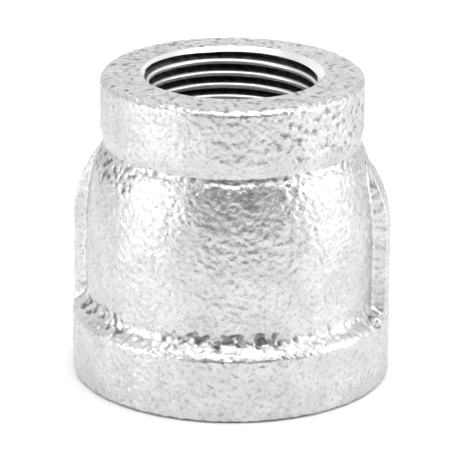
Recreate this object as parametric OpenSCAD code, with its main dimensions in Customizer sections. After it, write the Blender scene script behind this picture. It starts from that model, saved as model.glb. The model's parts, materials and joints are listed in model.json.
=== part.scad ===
// Concentric reducing coupling in malleable iron, zinc coated: a 1 in taper pipe thread in the
// large end and a 3/4 in taper pipe thread in the small end. The unit is the millimetre. The pipe
// axis is Z, the large end's face lies on Z = 0, and the ribs stand on the X axis.
//
// The real fitting is one casting. Each module below is one region of that casting, as its own
// closed solid, and the regions meet face to face.

/* [Overall] */
// Length from the large end's face to the small end's face
total_h = 44.3; // [43.6:0.1:46]
// Outside diameter of the large end's band
large_band_d = 45.9; // [45:0.1:47]
// Outside diameter of the small end's band
small_band_d = 37.7; // [36.8:0.1:38.2]

/* [Large end] */
// Height of the large band's straight side
large_band_h = 9.1; // [8:0.1:10]
// Radius of the round at the large band's bottom edge
large_rim_r = 0.6; // [0.3:0.1:1.2]
// Radius of the round on top of the large band
shoulder_r = 3; // [2.6:0.1:3.4]
// Angle, in degrees, by which that round breaks away from the band's side at its edge
shoulder_break = 25; // [10:1:35]
// Radius of the hollow fillet between the large band and the bell
fillet_r = 1.6; // [1:0.1:2]
// Crest diameter of the 1 in thread
large_crest_d = 29.7; // [29.5:0.05:29.9]
// Root diameter of the 1 in thread at the large end's face
large_root_d = 33.2; // [32.8:0.05:33.2]
// Pitch of the 1 in thread, 11.5 to the inch
large_pitch = 2.209; // [2.2:0.001:2.22]
// Length of the large end's threaded wall
large_thread_h = 14.9; // [14.8:0.1:16]
// Depth of the chamfer at the large mouth
large_chamfer_h = 1.4; // [1.3:0.1:1.5]
// Outer diameter of that chamfer
large_mouth_d = 32.6; // [32:0.1:33]

/* [Small end] */
// Height of the small band, from the neck crease to the small end's face
small_band_h = 10; // [9.6:0.1:10.3]
// Radius of the round at the small band's top edge
small_rim_r = 1.15; // [0.5:0.05:1.4]
// Radius of the curve that draws the small band in to the crease
under_r = 7.8; // [7:0.1:10]
// Height of that curve
under_h = 2.1; // [1.8:0.1:2.3]
// Angle, in degrees, by which that curve breaks away from the small band's side
under_break = 8; // [2:1:12]
// Crest diameter of the 3/4 in thread
small_crest_d = 23.7; // [23.6:0.05:23.8]
// Root diameter of the 3/4 in thread at the small end's face
small_root_d = 26.4; // [26:0.05:26.5]
// Pitch of the 3/4 in thread, 14 to the inch
small_pitch = 1.814; // [1.81:0.001:1.82]
// Length of the small end's threaded wall
small_thread_h = 12.7; // [12.5:0.1:13.5]
// Depth of the chamfer at the small mouth
small_chamfer_h = 1.1; // [1.05:0.05:1.2]
// Outer diameter of that chamfer
small_mouth_d = 26; // [25.6:0.1:26.4]

/* [Bell] */
// Greatest outside diameter of the bell
bell_d = 41.8; // [41.4:0.1:42.2]
// Height at which the bell's side begins to curve in
bell_curve_z = 20; // [19:0.5:21]
// Radius of that curve
bell_curve_r = 50; // [46:1:60]
// Radius of the bell's shoulder below the neck crease
bell_shoulder_r = 7; // [6:0.5:8]
// Diameter of the hollow between the two threads
hollow_d = 34.6; // [34:0.1:35]
// Height at which the hollow begins to narrow
hollow_taper_z = 21.5; // [20:0.5:23]
// Diameter of the hollow where the small end's thread begins
hollow_neck_d = 27.4; // [27:0.1:27.8]

/* [Ribs] */
// Thickness of each rib
rib_w = 5; // [4:0.1:6]
// Distance from one rib's outer face to the other's
rib_span = 45.8; // [44.6:0.1:46]
// Height at which a rib's outer face begins to curve in
rib_curve_z = 22; // [20:0.5:23]
// Radius of that curve
rib_curve_r = 17; // [15:0.5:18]

/* [Hidden] */
$fn = 120;

ZINC = [0.66, 0.665, 0.67];
BARE_IRON = [0.60, 0.61, 0.62];

large_r = large_band_d / 2;
small_r = small_band_d / 2;
bell_r = bell_d / 2;

// Each threaded wall is a ring this much thicker than its first thread is deep. A short cone
// draws it in at the mouth, so that the end face belongs to the band up to the chamfer's edge.
thread_backing = 0.8;
seat_cone_h = 0.8;
large_seat_r = large_root_d / 2 + thread_backing;
small_seat_r = small_root_d / 2 + thread_backing;

// The band's shoulder starts at the band's edge and touches the fillet, whose top is level with
// its own centre
band_shoulder_c = [large_r, large_band_h]
                  - shoulder_r * [cos(shoulder_break), sin(shoulder_break)];
shoulder_end = acos((bell_r + fillet_r - band_shoulder_c[0]) / (shoulder_r + fillet_r));
fillet_c = band_shoulder_c + (shoulder_r + fillet_r) * [cos(shoulder_end), sin(shoulder_end)];
fillet_top_z = fillet_c[1];

// The neck crease, where the small band rises out of the bell
crease_z = total_h - small_band_h;
under_end = asin(sin(under_break) + under_h / under_r);
under_c = [small_r, crease_z + under_h] - under_r * [cos(under_break), -sin(under_break)];
crease_r = under_c[0] + under_r * cos(under_end);

// The bell's side curve passes into its shoulder so that the shoulder ends at the crease: the
// shoulder's centre lies on a circle about the side curve's centre and on one about the crease
side_c = [bell_r - bell_curve_r, bell_curve_z];
crease = [crease_r, crease_z];
span = crease - side_c;
reach = norm(span);
side_to_shoulder = bell_curve_r - bell_shoulder_r;
lift = acos((side_to_shoulder * side_to_shoulder + reach * reach
             - bell_shoulder_r * bell_shoulder_r) / (2 * side_to_shoulder * reach));
side_end = atan2(span[1], span[0]) - lift;
shoulder_c = side_c + side_to_shoulder * [cos(side_end), sin(side_end)];
crease_angle = atan2(crease_z - shoulder_c[1], crease_r - shoulder_c[0]);

// A rib's outline ends inside the bell, this far below the neck crease
rib_below_crease = 1.5;
rib_end = asin((crease_z - rib_below_crease - rib_curve_z) / rib_curve_r);

small_thread_z = total_h - small_thread_h;
flank = tan(30);
root_flat = 0.08;
taper = 1 / 32;
slack = 1;

// Points along an arc about c, from angle from_a to angle to_a
function arc(c, r, from_a, to_a, steps = 8) =
    [for (i = [0 : steps])
        let (a = from_a + (to_a - from_a) * i / steps)
        c + r * [cos(a), sin(a)]];

// The solid that the large band's outer surface bounds
module large_band_body() {
    rotate_extrude()
        polygon(concat(
            [[0, 0]],
            arc([large_r - large_rim_r, large_rim_r], large_rim_r, -90, 0, 4),
            arc(band_shoulder_c, shoulder_r, shoulder_break, shoulder_end),
            arc(fillet_c, fillet_r, 180 + shoulder_end, 180),
            [[0, fillet_top_z]]));
}

// The solid that the bell's outer surface bounds
module bell_body() {
    rotate_extrude()
        polygon(concat(
            [[0, fillet_top_z], [bell_r, fillet_top_z]],
            arc(side_c, bell_curve_r, 0, side_end),
            arc(shoulder_c, bell_shoulder_r, side_end, crease_angle),
            [[0, crease_z]]));
}

// The solid that the small band's outer surface bounds
module small_band_body() {
    rotate_extrude()
        polygon(concat(
            [[0, crease_z]],
            arc(under_c, under_r, -under_end, -under_break),
            arc([small_r - small_rim_r, total_h - small_rim_r], small_rim_r, 0, 90, 5),
            [[0, total_h]]));
}

// The hole that a threaded wall fills, with its mouth at Z = 0 and running up to height h
module seat(seat_r, mouth_r, h) {
    rotate_extrude()
        polygon([[0, -slack], [mouth_r, -slack], [mouth_r, 0], [seat_r, seat_cone_h], [seat_r, h],
                 [0, h]]);
}

// Places what stands on Z = 0 upside down at the small end's face
module at_small_end() {
    translate([0, 0, total_h]) mirror([0, 0, 1]) children();
}

// A threaded wall with its mouth at Z = 0, drilled straight and cut with a taper thread. Each
// turn is a closed ring groove, so the crests are true lands of the drilled hole's radius.
module threaded_wall(seat_r, mouth_r, crest_r, root_r, pitch, h, chamfer_h) {
    turns = floor((h - chamfer_h) / pitch);
    rotate_extrude()
        polygon(concat(
            [[mouth_r, 0], [crest_r, chamfer_h]],
            [for (i = [0 : turns - 1])
                let (z = chamfer_h + (i + 0.5) * pitch,
                     bottom_r = root_r - z * taper,
                     half = (bottom_r - crest_r) * flank + root_flat / 2)
                each [[crest_r, z - half], [bottom_r, z - root_flat / 2],
                      [bottom_r, z + root_flat / 2], [crest_r, z + half]]],
            [[crest_r, h], [seat_r, h], [seat_r, seat_cone_h]]));
}

// The heavy band round the large end
module large_end_band() {
    color(ZINC)
        difference() {
            large_band_body();
            seat(large_seat_r, large_mouth_d / 2, fillet_top_z + slack);
        }
}

// The bell between the bands, hollow and open at both ends
module bell() {
    color(ZINC)
        difference() {
            bell_body();
            seat(large_seat_r, large_mouth_d / 2, large_thread_h);
            at_small_end() seat(small_seat_r, small_mouth_d / 2, small_thread_h);
            rotate_extrude()
                polygon([[0, large_thread_h - slack], [hollow_d / 2, large_thread_h - slack],
                         [hollow_d / 2, hollow_taper_z], [hollow_neck_d / 2, small_thread_z],
                         [hollow_neck_d / 2, small_thread_z + slack],
                         [0, small_thread_z + slack]]);
        }
}

// The band round the small end
module small_end_band() {
    color(ZINC)
        difference() {
            small_band_body();
            at_small_end() seat(small_seat_r, small_mouth_d / 2, small_band_h + slack);
        }
}

// One rib on the side that X points to, shaped to the bell and the large band. Its outline starts
// inside the band and ends inside the bell, which cut the surplus away.
module rib() {
    rib_r = rib_span / 2;
    difference() {
        intersection() {
            rotate_extrude()
                polygon(concat(
                    [[0, large_band_h - slack], [rib_r, large_band_h - slack]],
                    arc([rib_r - rib_curve_r, rib_curve_z], rib_curve_r, 0, rib_end, 12),
                    [[0, crease_z - rib_below_crease]]));
            translate([0, -rib_w / 2, 0]) cube([large_r + slack, rib_w, crease_z]);
        }
        bell_body();
        large_band_body();
    }
}

// The rib on the left, on the -X side
module rib_left() {
    color(ZINC) mirror([1, 0, 0]) rib();
}

// The rib on the right, on the +X side
module rib_right() {
    color(ZINC) rib();
}

// The wall that carries the 1 in thread
module large_end_thread() {
    color(BARE_IRON)
        threaded_wall(large_seat_r, large_mouth_d / 2, large_crest_d / 2, large_root_d / 2,
                      large_pitch, large_thread_h, large_chamfer_h);
}

// The wall that carries the 3/4 in thread
module small_end_thread() {
    color(BARE_IRON)
        at_small_end()
            threaded_wall(small_seat_r, small_mouth_d / 2, small_crest_d / 2, small_root_d / 2,
                          small_pitch, small_thread_h, small_chamfer_h);
}

large_end_band();
bell();
rib_left();
rib_right();
small_end_band();
large_end_thread();
small_end_thread();
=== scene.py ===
"""Looks of a galvanised, threaded reducing coupling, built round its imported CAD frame.

Lengths are in millimetres until a mesh is made, and the frame is in metres. The real fitting is
one casting, so its outer skin is worked out once, as rings of points round the pipe axis, and
each piece takes its own stretch of it. Pieces meet ring for ring and share their normals.
"""

import json
import math
from dataclasses import dataclass

import bmesh
import bpy
import numpy as np
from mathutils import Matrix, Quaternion, Vector


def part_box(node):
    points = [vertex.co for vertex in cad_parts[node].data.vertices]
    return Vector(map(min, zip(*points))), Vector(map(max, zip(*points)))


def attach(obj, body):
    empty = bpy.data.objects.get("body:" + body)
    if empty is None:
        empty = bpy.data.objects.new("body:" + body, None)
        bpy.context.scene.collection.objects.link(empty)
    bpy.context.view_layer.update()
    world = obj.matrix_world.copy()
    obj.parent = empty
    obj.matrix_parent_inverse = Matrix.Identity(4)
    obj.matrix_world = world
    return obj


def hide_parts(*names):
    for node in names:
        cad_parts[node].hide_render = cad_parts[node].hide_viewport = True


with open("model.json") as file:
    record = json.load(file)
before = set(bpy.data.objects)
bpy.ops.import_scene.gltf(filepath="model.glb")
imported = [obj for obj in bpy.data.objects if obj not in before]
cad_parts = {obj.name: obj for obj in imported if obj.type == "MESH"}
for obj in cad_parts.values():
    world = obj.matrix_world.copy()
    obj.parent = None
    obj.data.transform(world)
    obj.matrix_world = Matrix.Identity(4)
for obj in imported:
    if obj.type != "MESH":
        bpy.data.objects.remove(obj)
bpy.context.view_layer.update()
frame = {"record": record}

MM = 0.001


# ================================================================ sizes, from the frame

def low(node, axis):
    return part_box(node)[0][axis] / MM


def high(node, axis):
    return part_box(node)[1][axis] / MM


MOUNTS = {m["name"]: m for m in frame["record"]["mounts"]}

TOTAL_H = high("small_end_band", 2)
SMALL_R = high("small_end_band", 1)
LARGE_R = high("large_end_band", 1)
BELL_R = high("bell", 1)
RIB_R = high("rib_right", 0)
RIB_W = 2 * high("rib_right", 1)
CREASE_Z = low("small_end_band", 2)
FILLET_TOP_Z = high("large_end_band", 2)
SMALL_CREST_R = MOUNTS["small_end_thread"]["dims"]["r_mm"]
LARGE_CREST_R = MOUNTS["large_end_thread"]["dims"]["r_mm"]
SMALL_THREAD_Z = low("small_end_thread", 2)
LARGE_THREAD_H = high("large_end_thread", 2)
SMALL_SEAT_R = high("small_end_thread", 1)
LARGE_SEAT_R = high("large_end_thread", 1)

# ================================================================ sizes the boxes can't give

LARGE_BAND_H = 9.1
LARGE_RIM_R = 0.6
SHOULDER_R = 3.0
SHOULDER_START = 25.0             # degrees by which the shoulder breaks away at the band's edge
FILLET_R = 1.6
SMALL_RIM_R = 1.15
UNDER_R = 7.8
UNDER_H = 2.1
UNDER_BREAK = 8.0                 # degrees by which the undercut breaks away from the small band
BELL_CURVE_Z = 20.0
BELL_CURVE_R = 50.0
BELL_SHOULDER_R = 7.0

RIB_CURVE_Z = 22.0
RIB_CURVE_R = 17.0
RIB_FOOT_R = 0.55                 # hollow round where a rib's side meets the bell
RIB_CORNER_R = 0.45               # round between a rib's side and its outer face
RIB_DRAFT = 0.2                   # how far each side leans in, for the pattern to leave the mould
RIB_BURY = 0.14                   # how far a rib's foot starts below the bell's surface
RIB_TIP_P = 1.4                   # a rib narrows to half its width where it is less proud than this

# A dent from a knock, in the front edge of the left rib
DENT_Z, DENT_HALF_H, DENT_DEPTH = 20.4, 0.8, 0.35

# The inside of the bell, cored in the mould
HOLLOW_R = 17.3
HOLLOW_TAPER_Z = 21.5
HOLLOW_NECK_R = 13.7
HOLLOW_RELIEF = 1.5               # the cored surface is this much rougher than the skin

SMALL_PITCH = 25.4 / 14
LARGE_PITCH = 25.4 / 11.5
SMALL_ROOT_R = 13.1
LARGE_ROOT_R = 16.5
SMALL_START = 0.42                # how far round each thread starts, in turns
LARGE_START = 0.0
SMALL_MOUTH_R = 13.0              # outer edge of the chamfer at each mouth
LARGE_MOUTH_R = 16.3
SMALL_CHAMFER_H = 1.1
LARGE_CHAMFER_H = 1.4
TAPER = 1 / 32                    # fall of the radius over the length of a taper pipe thread
FLANK = math.tan(math.radians(30))
ROOT_FLAT = 0.05
CREST_TURN = math.radians(60)     # how far the round on a crest turns before it meets the flank
SEAT_LIP = 0.8                    # height of the cone that joins a threaded wall to its mouth

STEP = 0.26  # spacing of the skin's points
COLUMNS = round(2 * math.pi * LARGE_R / STEP / 8) * 8
THREAD_COLUMNS = 360


# ================================================================ seeded noise

class Noise:
    """Smooth gradient noise in space, the same on every run."""

    def __init__(self, seed):
        rng = np.random.default_rng(seed)
        self.order = np.tile(rng.permutation(256), 3)
        g = rng.normal(size=(256, 3))
        self.slopes = g / np.linalg.norm(g, axis=1, keepdims=True)

    def __call__(self, points, size):
        """From about -1 to 1 at each point, with bumps about `size` wide."""
        p = points / size
        cell = np.floor(p).astype(int)
        f = p - cell
        ease = f * f * f * (f * (f * 6 - 15) + 10)
        cell &= 255
        total = 0
        for corner in np.ndindex(2, 2, 2):
            i, j, k = (cell[..., a] + corner[a] for a in range(3))
            slope = self.slopes[self.order[self.order[self.order[i] + j] + k]]
            weight = 1
            for a in range(3):
                weight = weight * (ease[..., a] if corner[a] else 1 - ease[..., a])
            total = total + weight * ((f - corner) * slope).sum(axis=-1)
        return total * 1.7


swell_noise, pebble_noise, grain_noise, pit_noise = (Noise(seed) for seed in (11, 23, 37, 53))


def smooth(edge0, edge1, x):
    t = np.clip((x - edge0) / (edge1 - edge0), 0, 1)
    return t * t * (3 - 2 * t)


# The skin's relief: sizes of its bumps, and their depths
PEBBLE_SIZE, GRAIN_SIZE, SWELL_SIZE, PIT_SIZE = 1.5, 0.85, 9.0, 1.0
PEBBLE_DEPTH, GRAIN_DEPTH, SWELL_DEPTH = 0.12, 0.055, 0.04
EDGE_FADE = 0.5                   # the relief fades out over this length towards a sharp edge
PAINTED_SHADE_FROM, PAINTED_SHADE_TO = 0.06, 0.34   # painted shade darkens the relief from this depth, and fully at that one

# A drip of zinc that set on the large band's shoulder, in front of the right rib, and a groove
# round its foot, which the painted shade in the hollows darkens
BEAD_TURN = math.radians(76.5)
BEAD_R, BEAD_Z, BEAD_SIZE = 22.3, 9.95, 0.9
BEAD_RISE = 0.75                  # how proud it stands, as a part of its size
RING_R, RING_HALF_W, RING_DEPTH = BEAD_SIZE * 1.1, 0.35, 0.22

# Rough places: azimuth and half-width in degrees, height and half-height, depth of the pits
ROUGH_PLACES = [(6, 30, 11.4, 1.6, 0.34), (-56, 22, 11.2, 1.9, 0.34), (40, 180, 11.2, 1.5, 0.12),
                (-58, 26, 32.0, 2.6, 0.30), (8, 180, 34.0, 0.7, 0.16), (62, 44, 39.5, 5.5, 0.16),
                (8, 180, 44.3, 0.6, 0.16)]


def furrows(noise):
    """Sharp furrows where the noise passes zero, from 0 to 1 deep, with round tops between."""
    return (1 - np.minimum(np.abs(noise), 1)) ** 2


def relief(p):
    """How far the cast and dipped surface lies below its nominal one, at points p."""
    z = p[..., 2]
    azimuth = np.degrees(np.arctan2(p[..., 0], -p[..., 1]))
    pebbles = furrows(pebble_noise(p * (1, 1, 1.4), PEBBLE_SIZE))
    grains = furrows(grain_noise(p * (1, 1, 1.2), GRAIN_SIZE))
    swell = (1 + swell_noise(p, SWELL_SIZE)) / 2
    pitted = 0
    for centre, half_width, middle, half_height, depth in ROUGH_PLACES:
        turn = np.abs((azimuth - centre + 180) % 360 - 180)
        inside = smooth(half_width + 1, half_width * 0.6, turn) if half_width < 180 else 1
        pitted = np.maximum(pitted, depth * inside
                            * smooth(half_height, half_height * 0.4, np.abs(z - middle)))
    pits = np.clip(pit_noise(p, PIT_SIZE) + 0.2, 0, 1)
    bead_at = BEAD_R * np.array([math.sin(BEAD_TURN), -math.cos(BEAD_TURN), 0]) + BEAD_Z * UP
    from_bead = np.linalg.norm(p - bead_at, axis=-1)
    bead = np.sqrt(np.clip(1 - (from_bead / BEAD_SIZE) ** 2, 0, 1)) * BEAD_SIZE * BEAD_RISE
    bead -= RING_DEPTH * smooth(RING_HALF_W, 0, np.abs(from_bead - RING_R))
    return (PEBBLE_DEPTH * pebbles + GRAIN_DEPTH * grains + SWELL_DEPTH * swell + pitted * pits
            - bead)


# ================================================================ outlines in (radius, height)

def line(p, q):
    p, q = np.array(p, float), np.array(q, float)
    n = max(1, math.ceil(np.linalg.norm(q - p) / STEP))
    return p + (q - p) * np.linspace(0, 1, n + 1)[:, None]


def on_circle(start, end, count):
    """Points on the unit circle, from one angle to another in degrees."""
    a = np.radians(np.linspace(start, end, count))
    return np.column_stack([np.cos(a), np.sin(a)])


def arc(centre, radius, start, end):
    n = max(3, math.ceil(abs(math.radians(end - start)) * radius / STEP))
    return np.array(centre) + radius * on_circle(start, end, n + 1)


def joined(*stretches):
    """One outline from stretches that follow on, without the doubled points."""
    points = [stretches[0]]
    for s in stretches[1:]:
        points.append(s[1:] if np.allclose(points[-1][-1], s[0], atol=1e-3) else s)
    return np.concatenate(points)


def polar(radius, degrees):
    return radius * np.array([math.cos(math.radians(degrees)), math.sin(math.radians(degrees))])


def under_end():
    return math.degrees(math.asin(math.sin(math.radians(UNDER_BREAK)) + UNDER_H / UNDER_R))


def under_centre():
    return np.array([SMALL_R, CREASE_Z + UNDER_H]) - polar(UNDER_R, -UNDER_BREAK)


def small_band_outline():
    """From the small mouth's edge, over the rim and down to the neck crease."""
    rim_z = TOTAL_H - SMALL_RIM_R
    return joined(
        line((SMALL_MOUTH_R, TOTAL_H), (SMALL_R - SMALL_RIM_R, TOTAL_H)),
        arc((SMALL_R - SMALL_RIM_R, rim_z), SMALL_RIM_R, 90, 0),
        line((SMALL_R, rim_z), (SMALL_R, CREASE_Z + UNDER_H)),
        arc(under_centre(), UNDER_R, -UNDER_BREAK, -under_end()))


def bell_outline():
    """From the neck crease, by the shoulder arc and the side arc, down to the fillet."""
    crease_r = under_centre()[0] + polar(UNDER_R, under_end())[0]
    side_c = np.array([BELL_R - BELL_CURVE_R, BELL_CURVE_Z])
    span = np.array([crease_r, CREASE_Z]) - side_c
    reach, gap = np.linalg.norm(span), BELL_CURVE_R - BELL_SHOULDER_R
    lift = math.acos((gap ** 2 + reach ** 2 - BELL_SHOULDER_R ** 2) / (2 * gap * reach))
    side_end = math.degrees(math.atan2(span[1], span[0]) - lift)
    shoulder_c = side_c + polar(gap, side_end)
    crease_a = math.degrees(math.atan2(CREASE_Z - shoulder_c[1], crease_r - shoulder_c[0]))
    return joined(
        arc(shoulder_c, BELL_SHOULDER_R, crease_a, side_end),
        arc(side_c, BELL_CURVE_R, side_end, 0),
        line((BELL_R, BELL_CURVE_Z), (BELL_R, FILLET_TOP_Z)))


def large_band_outline():
    """From the top of the fillet, down the band and in to the large mouth's edge."""
    shoulder_c = np.array([LARGE_R, LARGE_BAND_H]) - polar(SHOULDER_R, SHOULDER_START)
    gap = SHOULDER_R + FILLET_R
    touch = math.degrees(math.acos((BELL_R + FILLET_R - shoulder_c[0]) / gap))
    return joined(
        arc((BELL_R + FILLET_R, FILLET_TOP_Z), FILLET_R, 180, 180 + touch),
        arc(shoulder_c, SHOULDER_R, touch, SHOULDER_START),
        line((LARGE_R, LARGE_BAND_H), (LARGE_R, LARGE_RIM_R)),
        arc((LARGE_R - LARGE_RIM_R, LARGE_RIM_R), LARGE_RIM_R, 0, -90),
        line((LARGE_R - LARGE_RIM_R, 0), (LARGE_MOUTH_R, 0)))


# ================================================================ rings round the pipe axis

def round_steps(columns):
    """Unit vectors from the axis, one for each column of a ring."""
    a = np.linspace(0, 2 * math.pi, columns, endpoint=False)
    return np.column_stack([np.cos(a), np.sin(a), np.zeros(columns)])


AROUND = round_steps(COLUMNS)
UP = np.array([0.0, 0.0, 1.0])


def rings(outline):
    """A grid of points, one ring for each point of the outline."""
    return outline[:, 0, None, None] * AROUND + outline[:, 1, None, None] * UP


def weathered(outline, depth=1.0):
    """Rings moved in by the relief, which fades out towards both ends: they are sharp edges."""
    flat = rings(outline)
    along = np.concatenate([[0], np.linalg.norm(np.diff(outline, axis=0), axis=1).cumsum()])
    weight = depth * smooth(0, EDGE_FADE, along) * smooth(0, EDGE_FADE, along[-1] - along)
    d = np.gradient(outline, axis=0)
    n = np.column_stack([-d[:, 1], d[:, 0]])
    n /= np.linalg.norm(n, axis=1, keepdims=True)
    push = n[:, 0, None, None] * AROUND + n[:, 1, None, None] * UP
    return flat - push * (relief(flat) * weight[:, None])[..., None]


def grid_normals(p):
    n = np.cross(np.gradient(p, axis=0), np.roll(p, -1, axis=1) - np.roll(p, 1, axis=1))
    return n / np.maximum(np.linalg.norm(n, axis=2, keepdims=True), 1e-9)


def plain(*stops):
    """A smooth, plain run of rings from stop to stop."""
    r = rings(np.array(stops, float))
    return r, grid_normals(r)


def link(name, mesh):
    obj = bpy.data.objects.new(name, mesh)
    bpy.context.collection.objects.link(obj)
    return obj


def set_depth(mesh):
    """Stores how deep each point lies in the relief, from 0 to 1, for the material to paint shade
    into.
    """
    p = np.empty(len(mesh.vertices) * 3)
    mesh.vertices.foreach_get("co", p)
    depth = smooth(PAINTED_SHADE_FROM, PAINTED_SHADE_TO, relief(p.reshape(-1, 3) / MM))
    mesh.attributes.new("depth", "FLOAT", "POINT").data.foreach_set("value", depth)


def revolved(name, *runs):
    """A closed mesh from runs of rings that follow on and come back to the first ring.

    Each run is (rings, normals). It is shaded smoothly and meets the next at a sharp edge."""
    points = np.concatenate([r[:-1] for r, _ in runs]).reshape(-1, 3) * MM
    rows = len(points) // COLUMNS
    col = np.arange(COLUMNS)
    after = np.roll(col, -1)
    quads, normals, first = [], [], 0
    for r, n in runs:
        for i in range(len(r) - 1):
            a, b = (first + i) * COLUMNS, ((first + i + 1) % rows) * COLUMNS
            quads.append(np.column_stack([a + col, b + col, b + after, a + after]))
            normals.append(np.stack([n[i], n[i + 1], n[i + 1][after], n[i][after]], axis=1))
        first += len(r) - 1
    mesh = bpy.data.meshes.new(name)
    mesh.from_pydata(points, [], np.concatenate(quads))
    mesh.polygons.foreach_set("use_smooth", np.ones(len(mesh.polygons), bool))
    mesh.normals_split_custom_set(np.concatenate(normals).reshape(-1, 3))
    set_depth(mesh)
    return link(name, mesh)


# ================================================================ the cast skin and its pieces

bell_line, band_line = bell_outline(), large_band_outline()
lower_line = joined(bell_line, band_line)
split = len(bell_line) - 1


def make_small_band():
    skin = weathered(small_band_outline())
    crease_r = bell_line[0][0]
    lip_z = TOTAL_H - SEAT_LIP
    return revolved(
        "collar",
        (skin, grid_normals(skin)),
        plain((crease_r, CREASE_Z), (SMALL_SEAT_R, CREASE_Z)),
        plain((SMALL_SEAT_R, CREASE_Z), (SMALL_SEAT_R, lip_z)),
        plain((SMALL_SEAT_R, lip_z), (SMALL_MOUTH_R, TOTAL_H)))


def make_bell_and_large_band():
    skin = weathered(lower_line)
    normals = grid_normals(skin)
    hollow = weathered(joined(
        line((HOLLOW_R, LARGE_THREAD_H), (HOLLOW_R, HOLLOW_TAPER_Z)),
        line((HOLLOW_R, HOLLOW_TAPER_Z), (HOLLOW_NECK_R, SMALL_THREAD_Z))), HOLLOW_RELIEF)
    crease_r = bell_line[0][0]

    # The wall under the skin's ring at the fillet takes that ring's own points
    ledge, ledge_normals = plain((BELL_R, FILLET_TOP_Z), (LARGE_SEAT_R, FILLET_TOP_Z))
    ledge[0] = skin[split]
    bell = revolved(
        "bell_shell",
        (skin[:split + 1], normals[:split + 1]),
        (ledge, ledge_normals),
        plain((LARGE_SEAT_R, FILLET_TOP_Z), (LARGE_SEAT_R, LARGE_THREAD_H)),
        plain((LARGE_SEAT_R, LARGE_THREAD_H), (HOLLOW_R, LARGE_THREAD_H)),
        (hollow, grid_normals(hollow)),
        plain((HOLLOW_NECK_R, SMALL_THREAD_Z), (SMALL_SEAT_R, SMALL_THREAD_Z)),
        plain((SMALL_SEAT_R, SMALL_THREAD_Z), (SMALL_SEAT_R, CREASE_Z)),
        plain((SMALL_SEAT_R, CREASE_Z), (crease_r, CREASE_Z)))

    band = revolved(
        "base_band",
        (skin[split:], normals[split:]),
        plain((LARGE_MOUTH_R, 0), (LARGE_SEAT_R, SEAT_LIP)),
        plain((LARGE_SEAT_R, SEAT_LIP), (LARGE_SEAT_R, FILLET_TOP_Z)),
        (ledge[::-1], -ledge_normals[::-1]))
    return bell, band


# ================================================================ the ribs

def rib_section(p, w):
    """A rib's cross-section as (across, out) points, where it stands p proud of the bell."""
    foot, corner = min(RIB_FOOT_R, 0.45 * p), min(RIB_CORNER_R, 0.45 * p)
    draft = RIB_DRAFT * min(1, p)
    half = w / 2
    left = np.concatenate([
        [(-half - 1.6 * foot, -RIB_BURY)],
        (-half - foot, foot) + foot * on_circle(-80, 0, 5),
        (-half + draft + corner, p - corner) + corner * on_circle(180, 90, 6)])
    across = np.linspace(left[-1][0], -left[-1][0], 17)[1:-1]
    face = np.column_stack([across, np.full(len(across), p)])
    return np.concatenate([left, face, left[::-1] * (-1, 1)])


def make_rib(name, side):
    """A rib on the +X side, or on the -X side where side is -1."""
    heights = np.arange(LARGE_BAND_H, CREASE_Z, STEP / 4)
    base = np.interp(heights, lower_line[::-1, 1], lower_line[::-1, 0])
    rise = np.clip(heights - RIB_CURVE_Z, 0, RIB_CURVE_R)
    face = RIB_R - RIB_CURVE_R + np.sqrt(RIB_CURVE_R ** 2 - rise ** 2)
    proud = np.flatnonzero(face > base)
    rows = []
    for i in np.unique(np.append(proud[::4], proud[-1])):
        p = face[i] - base[i]
        tip = smooth(0, RIB_TIP_P, p) if heights[i] > RIB_CURVE_Z else 1
        section = rib_section(max(p, 0.02), RIB_W * (0.5 + 0.5 * tip))
        r = base[i] + section[:, 1]
        y = section[:, 0]
        rows.append(np.column_stack([np.sqrt(r ** 2 - y ** 2), y, np.full(len(y), heights[i])]))
    grid = np.array(rows)
    normals = np.cross(np.gradient(grid, axis=1), np.gradient(grid, axis=0))
    normals /= np.maximum(np.linalg.norm(normals, axis=2, keepdims=True), 1e-9)
    grid -= normals * relief(grid * (side, 1, 1))[..., None]
    if side < 0:
        dent = DENT_DEPTH * np.exp(-((grid[..., 2] - DENT_Z) / DENT_HALF_H) ** 2)
        grid[..., 0] -= dent * smooth(-0.5, -2.2, grid[..., 1])
        grid *= (-1, 1, 1)
    index = np.arange(grid[..., 0].size).reshape(grid.shape[:2])
    after = np.roll(index, -1, axis=1)
    quads = np.stack([index[:-1], after[:-1], after[1:], index[1:]], axis=-1).reshape(-1, 4)
    faces = quads.tolist() + [index[0, ::-1].tolist(), index[-1].tolist()]
    if side < 0:
        faces = [f[::-1] for f in faces]
    mesh = bpy.data.meshes.new(name)
    mesh.from_pydata(grid.reshape(-1, 3) * MM, [], faces)
    mesh.polygons.foreach_set("use_smooth", np.ones(len(mesh.polygons), bool))
    mesh.set_sharp_from_angle(angle=math.radians(60))
    set_depth(mesh)
    return link(name, mesh)


# ================================================================ the threads

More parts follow.
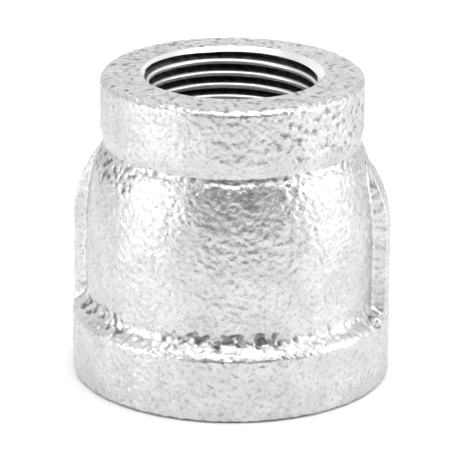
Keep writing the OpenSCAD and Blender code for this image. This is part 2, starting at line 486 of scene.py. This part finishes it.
@dataclass
class ThreadedWall:
    """A wall with a right-hand taper thread, chamfered at its mouth and at its inner end.

    Depth runs from 0 at the mouth, and an offset runs from the middle of a groove."""

    name: str
    turned: int                   # -1: depth runs down from the small face; +1: up from the large
    start: float                  # how far round the thread starts, in turns
    mouth_r: float                # outer edge of the chamfer
    chamfer_h: float
    crest_r: float
    root_r: float                 # at the mouth
    pitch: float
    length: float
    seat_r: float                 # outside of the wall
    exit_r: float                 # wide end of the cone at the inner end

    def groove_depth(self, depth):
        return self.root_r - TAPER * depth - self.crest_r

    def crest_round(self, depth):
        """Radius of the round on the crests, which touches both flanks."""
        return (self.pitch / 2 - ROOT_FLAT / 2) / FLANK - self.groove_depth(depth)

    def thread_r(self, depth, offset, cut):
        """Radius of the thread, where cut is how much of the groove's depth is cut, 0 to 1."""
        crest_round = self.crest_round(depth)
        x = np.abs(offset)
        half_crest = crest_round * math.sin(CREST_TURN)
        groove = self.groove_depth(depth) - np.maximum(x - ROOT_FLAT / 2, 0) / FLANK
        across = np.clip(self.pitch / 2 - x, 0, half_crest)
        crest = crest_round - np.sqrt(crest_round ** 2 - across ** 2)
        return self.crest_r + cut * np.where(self.pitch / 2 - x < half_crest, crest, groove)

    def surface(self, depth, offset):
        """Radius of the wall's free surface, and how far it is painted as a lit crest, from 1 on
        crests and chamfer to 0 in the oily, shaded grooves.
        """
        runout = smooth(self.length - 0.2 * self.pitch, self.length - 1.6 * self.pitch, depth)
        cut = runout * smooth(0.05, 0.75, depth)
        thread = self.thread_r(depth, offset, cut)
        chamfer = self.mouth_r - depth * (self.mouth_r - self.crest_r) / self.chamfer_h
        inner_cone = self.exit_r - (self.length - depth)
        # Painted highlight on the crests and chamfer, fading to the grooves' oil and painted shade
        crest_highlight_and_groove_shade = 1 - np.clip((thread - self.crest_r) / self.groove_depth(depth), 0, 1)
        crest_highlight_and_groove_shade = np.where(chamfer > thread - 0.01, 1, crest_highlight_and_groove_shade)
        return np.maximum.reduce([thread, chamfer, inner_cone]), crest_highlight_and_groove_shade

    def rows(self):
        """Depth, radius and painted crest highlight along the helix, row by row, and the rows in
        one turn.
        """
        lead = self.turned * np.arange(THREAD_COLUMNS) / THREAD_COLUMNS * self.pitch
        rows = []
        for turn in range(-2, math.ceil(self.length / self.pitch) + 2):
            middle = (turn + 0.5 + self.start) * self.pitch + lead
            crest_round = self.crest_round(np.clip(middle, 0, self.length))
            flank_end = self.pitch / 2 - crest_round * math.sin(CREST_TURN)
            half = [ROOT_FLAT / 2 + (flank_end - ROOT_FLAT / 2) * s for s in (0, 0.35, 0.7, 1)]
            half += [self.pitch / 2 - crest_round * math.sin(math.radians(a)) for a in (40, 20)]
            offsets = [-x for x in half[::-1]] + half + [self.pitch / 2]
            for offset in offsets:
                depth = np.clip(middle + offset, 0, self.length)
                rows.append((depth, *self.surface(depth, depth - middle)))
        return [np.array(column) for column in zip(*rows)], len(offsets)

    def placed(self, r, d):
        """Points of one ring or more, at radius r and depth d."""
        z = (TOTAL_H if self.turned < 0 else 0) + self.turned * d
        return r[..., None] * round_steps(THREAD_COLUMNS) + z[..., None] * UP

    def make(self):
        (depth, radius, crest_highlight_and_groove_shade), rows_in_turn = self.rows()
        one = np.ones(THREAD_COLUMNS)
        outside = [(self.exit_r, self.length), (self.seat_r, self.length),
                   (self.seat_r, SEAT_LIP), (self.mouth_r, 0)]
        grid = np.concatenate([self.placed(radius, depth)]
                              + [self.placed(r * one, d * one)[None] for r, d in outside])
        crest_highlight_and_groove_shade = np.concatenate([crest_highlight_and_groove_shade, np.ones((len(outside), THREAD_COLUMNS))])

        # The last column meets the first one a whole turn further along the helix
        index = np.arange(grid[..., 0].size).reshape(grid.shape[:2])
        below, after = np.roll(index, -1, axis=0), np.roll(index, -1, axis=1)
        quads = np.stack([index, after, np.roll(below, -1, axis=1), below], axis=-1)
        inner = len(depth)
        first_row = np.clip(np.arange(inner) + rows_in_turn * self.turned, 0, inner - 1)
        quads[:inner - 1, -1, 1] = index[first_row[:-1], 0]
        quads[:inner - 1, -1, 2] = index[first_row[1:], 0]
        faces = quads.reshape(-1, 4)
        if self.turned > 0:
            faces = faces[:, ::-1]
        mesh = bpy.data.meshes.new(self.name)
        mesh.from_pydata(grid.reshape(-1, 3) * MM, [], faces)
        stored = mesh.attributes.new("crest_highlight_and_groove_shade", "FLOAT", "POINT")
        stored.data.foreach_set("value", crest_highlight_and_groove_shade.ravel())

        # Rows that the ends cut off lie on one another
        b = bmesh.new()
        b.from_mesh(mesh)
        bmesh.ops.remove_doubles(b, verts=b.verts, dist=2e-6)
        bmesh.ops.dissolve_degenerate(b, edges=b.edges, dist=1e-6)
        b.to_mesh(mesh)
        b.free()
        mesh.polygons.foreach_set("use_smooth", np.ones(len(mesh.polygons), bool))
        mesh.set_sharp_from_angle(angle=math.radians(32))
        return link(self.name, mesh)


collar = make_small_band()
bell_shell, base_band = make_bell_and_large_band()
rib_pieces = [make_rib("rib_minus_x", -1), make_rib("rib_plus_x", 1)]
small_thread = ThreadedWall(
    "thread_three_quarter", turned=-1, start=SMALL_START, mouth_r=SMALL_MOUTH_R,
    chamfer_h=SMALL_CHAMFER_H, crest_r=SMALL_CREST_R, root_r=SMALL_ROOT_R, pitch=SMALL_PITCH,
    length=TOTAL_H - SMALL_THREAD_Z, seat_r=SMALL_SEAT_R, exit_r=HOLLOW_NECK_R - 0.4).make()
large_thread = ThreadedWall(
    "thread_one", turned=1, start=LARGE_START, mouth_r=LARGE_MOUTH_R,
    chamfer_h=LARGE_CHAMFER_H, crest_r=LARGE_CREST_R, root_r=LARGE_ROOT_R, pitch=LARGE_PITCH,
    length=LARGE_THREAD_H, seat_r=LARGE_SEAT_R, exit_r=LARGE_CREST_R + 1.2).make()

ZINC_PIECES = [(collar, "small_end_band"), (bell_shell, "bell"), (base_band, "large_end_band"),
               (rib_pieces[0], "rib_left"), (rib_pieces[1], "rib_right")]
IRON_PIECES = [(small_thread, "small_end_thread"), (large_thread, "large_end_thread")]
for pieces, slot in ((ZINC_PIECES, "zinc_coat"), (IRON_PIECES, "cut_thread")):
    for piece, node in pieces:
        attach(piece, "root")
        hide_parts(node)


# ================================================================ materials

class Nodes:
    """A material with its node tree, and short ways to add to it."""

    def __init__(self, name):
        self.material = bpy.data.materials.new(name)
        self.material.use_nodes = True
        self.tree = self.material.node_tree
        self.bsdf = self.tree.nodes["Principled BSDF"]
        self.place = self.tree.nodes.new("ShaderNodeTexCoord").outputs["Object"]

    def link(self, source, target):
        self.tree.links.new(source, target)

    def add(self, kind, inputs=(), **settings):
        node = self.tree.nodes.new(kind)
        for key, value in settings.items():
            setattr(node, key, value)
        for key, value in dict(inputs).items():
            if isinstance(value, bpy.types.NodeSocket):
                self.link(value, node.inputs[key])
            else:
                node.inputs[key].default_value = value
        return node

    def noise(self, size, detail=2.0, roughness=0.5, place=None):
        """Noise whose features are about `size` mm wide."""
        return self.add("ShaderNodeTexNoise", {
            "Vector": place or self.place, "Scale": 1 / (size * MM), "Detail": detail,
            "Roughness": roughness}).outputs["Fac"]

    def ramp(self, value, low, high, out_low=0.0, out_high=1.0):
        return self.add("ShaderNodeMapRange", {
            "Value": value, "From Min": low, "From Max": high, "To Min": out_low,
            "To Max": out_high}, interpolation_type="SMOOTHSTEP").outputs["Result"]

    def mix(self, factor, a, b):
        return self.add("ShaderNodeMix", {0: factor, 6: a, 7: b}, data_type="RGBA").outputs[2]

    def maths(self, operation, a, b):
        return self.add("ShaderNodeMath", {0: a, 1: b}, operation=operation).outputs[0]

    def bump(self, height, depth):
        """A bump whose full height is `depth` mm."""
        return self.add("ShaderNodeBump", {
            "Height": height, "Distance": depth * MM, "Strength": 1.0}).outputs["Normal"]


def grey(value, blue=None):
    """An opaque grey, or one that turns from value in red to blue in blue."""
    blue = value if blue is None else blue
    return value, (value + blue) / 2, blue, 1


def zinc_material():
    """Hot-dip zinc: bright, faintly clouded, with painted shade in the hollows of the relief."""
    m = Nodes("zinc_coat")
    m.bsdf.inputs["Metallic"].default_value = 1.0
    cloud = m.ramp(m.noise(4.5, 3), 0.35, 0.65)
    base = m.mix(cloud, grey(0.61, 0.62), grey(0.69, 0.70))
    speck = m.ramp(m.noise(0.55, 3, 0.6), 0.50, 0.68)
    base = m.mix(m.maths("MULTIPLY", speck, 0.75), base, grey(0.40, 0.41))
    depth = m.add("ShaderNodeAttribute", attribute_name="depth").outputs["Fac"]
    # Painted shade: the deeper hollows of the relief are painted dark grey
    painted_shade = m.ramp(depth, 0.22, 1.0)
    m.link(m.mix(painted_shade, base, (0.22, 0.22, 0.225, 1)), m.bsdf.inputs["Base Color"])
    m.link(m.ramp(m.noise(1.6, 3), 0.3, 0.7, 0.24, 0.38), m.bsdf.inputs["Roughness"])
    grain = m.noise(0.5, 4, 0.62)
    m.link(m.bump(grain, 0.10), m.bsdf.inputs["Normal"])
    return m.material


def iron_material():
    """Freshly cut iron, with a painted highlight on the crests and chamfers, and grooves dark with
    oil and painted shade.
    """
    m = Nodes("cut_thread")
    m.bsdf.inputs["Metallic"].default_value = 1.0
    crest_highlight_and_groove_shade = m.add("ShaderNodeAttribute", attribute_name="crest_highlight_and_groove_shade").outputs["Fac"]
    # Painted highlight on the crests and chamfers, painted shade with oil in the grooves
    bright = m.ramp(crest_highlight_and_groove_shade, 0.62, 0.86)
    torn = m.ramp(m.noise(1.1, 3, 0.6), 0.35, 0.7)
    # The grooves: near black, for oil and painted shade
    groove = m.mix(torn, (0.05, 0.05, 0.052, 1), (0.13, 0.13, 0.132, 1))
    streaks = m.add("ShaderNodeMapping", {"Vector": m.place, "Scale": (0.12, 0.12, 6.0)})
    tool_lines = m.noise(0.6, 3, 0.6, streaks.outputs["Vector"])
    # The crests: near white, a painted highlight streaked by tool lines
    land = m.mix(tool_lines, grey(0.80), grey(0.97))
    m.link(m.mix(bright, groove, land), m.bsdf.inputs["Base Color"])
    m.link(m.ramp(bright, 0, 1, 0.55, 0.34), m.bsdf.inputs["Roughness"])
    m.link(m.bump(tool_lines, 0.014), m.bsdf.inputs["Normal"])
    return m.material


zinc, iron = zinc_material(), iron_material()
for piece, _ in ZINC_PIECES:
    piece.data.materials.append(zinc)
for piece, _ in IRON_PIECES:
    piece.data.materials.append(iron)

# ================================================================ camera, floor and light

TARGET = Vector((0, 0, 0.0206))       # the point that the camera and the lamps face
CAMERA_AZIMUTH, CAMERA_ELEVATION, CAMERA_ROLL = 8.0, 19.44, 0.40
CAMERA_DISTANCE = 0.4895
CAMERA_LENS, CAMERA_SHIFT = 266.8, -0.0036
FLOOR_HALF = 5.0


def outwards(azimuth, elevation):
    """Unit vector from the object. Azimuth 0 is in front, on the -Y side, and 90 on the right."""
    a, e = math.radians(azimuth), math.radians(elevation)
    return Vector((math.sin(a) * math.cos(e), -math.cos(a) * math.cos(e), math.sin(e)))


def make_camera():
    cam = link("camera", bpy.data.cameras.new("camera"))
    back = outwards(CAMERA_AZIMUTH, CAMERA_ELEVATION)
    cam.location = TARGET + back * CAMERA_DISTANCE
    cam.rotation_mode = "QUATERNION"
    cam.rotation_quaternion = ((-back).to_track_quat("-Z", "Y")
                               @ Quaternion((0, 0, 1), math.radians(CAMERA_ROLL)))
    cam.data.sensor_width = 36
    cam.data.lens = CAMERA_LENS
    cam.data.shift_x = CAMERA_SHIFT
    bpy.context.scene.camera = cam


def make_floor():
    mesh = bpy.data.meshes.new("floor")
    mesh.from_pydata([(-FLOOR_HALF, -FLOOR_HALF, 0), (FLOOR_HALF, -FLOOR_HALF, 0),
                      (FLOOR_HALF, FLOOR_HALF, 0), (-FLOOR_HALF, FLOOR_HALF, 0)],
                     [], [(0, 1, 2, 3)])
    paint = bpy.data.materials.new("floor")
    paint.use_nodes = True
    bsdf = paint.node_tree.nodes["Principled BSDF"]
    bsdf.inputs["Base Color"].default_value = grey(0.93)
    bsdf.inputs["Roughness"].default_value = 0.9
    mesh.materials.append(paint)
    return link("floor", mesh)


make_camera()
floor = make_floor()


def softbox(name, azimuth, elevation, distance, size, power):
    """A square softbox that faces the object."""
    data = bpy.data.lights.new(name, "AREA")
    data.shape, data.size, data.energy = "SQUARE", size, power
    lamp = link(name, data)
    out = outwards(azimuth, elevation)
    lamp.location = TARGET + out * distance
    lamp.rotation_mode = "QUATERNION"
    lamp.rotation_quaternion = (-out).to_track_quat("-Z", "Y")


softbox("left_softbox", -60, 16, 0.38, 0.22, 0.42)
softbox("right_softbox", 90, 18, 0.42, 0.24, 0.55)
softbox("top_softbox", 25, 78, 0.5, 0.5, 1.75)


def studio_world():
    """A pale studio: lighter behind the object, with a dark gap in front, beside the camera.

    The gap is two overlapping round patches."""
    world = bpy.data.worlds.new("studio")
    world.use_nodes = True
    tree = world.node_tree
    place = tree.nodes.new("ShaderNodeTexCoord").outputs["Generated"]

    def lobe(azimuth, elevation, core, edge, outside, inside):
        """A value that is inside within the core angle from a direction, and outside past edge."""
        dot = tree.nodes.new("ShaderNodeVectorMath")
        dot.operation = "DOT_PRODUCT"
        dot.inputs[1].default_value = outwards(azimuth, elevation)
        tree.links.new(place, dot.inputs[0])
        fade = tree.nodes.new("ShaderNodeMapRange")
        fade.interpolation_type = "SMOOTHSTEP"
        for key, value in (("From Min", math.cos(math.radians(edge))),
                           ("From Max", math.cos(math.radians(core))),
                           ("To Min", outside), ("To Max", inside)):
            fade.inputs[key].default_value = value
        tree.links.new(dot.outputs["Value"], fade.inputs["Value"])
        return fade.outputs["Result"]

    def product(a, b):
        node = tree.nodes.new("ShaderNodeMath")
        node.operation = "MULTIPLY"
        tree.links.new(a, node.inputs[0])
        tree.links.new(b, node.inputs[1])
        return node.outputs[0]

    gap = product(lobe(-4, 21, 8, 27, 1.0, 0.24), lobe(32, 21, 8, 27, 1.0, 0.24))
    strength = product(lobe(188, 24, 22, 80, 0.62, 1.08), gap)
    background = tree.nodes["Background"]
    tree.links.new(strength, background.inputs["Strength"])
    background.inputs["Color"].default_value = grey(1.0)
    bpy.context.scene.world = world


studio_world()
bpy.context.scene.view_settings.view_transform = "Standard"
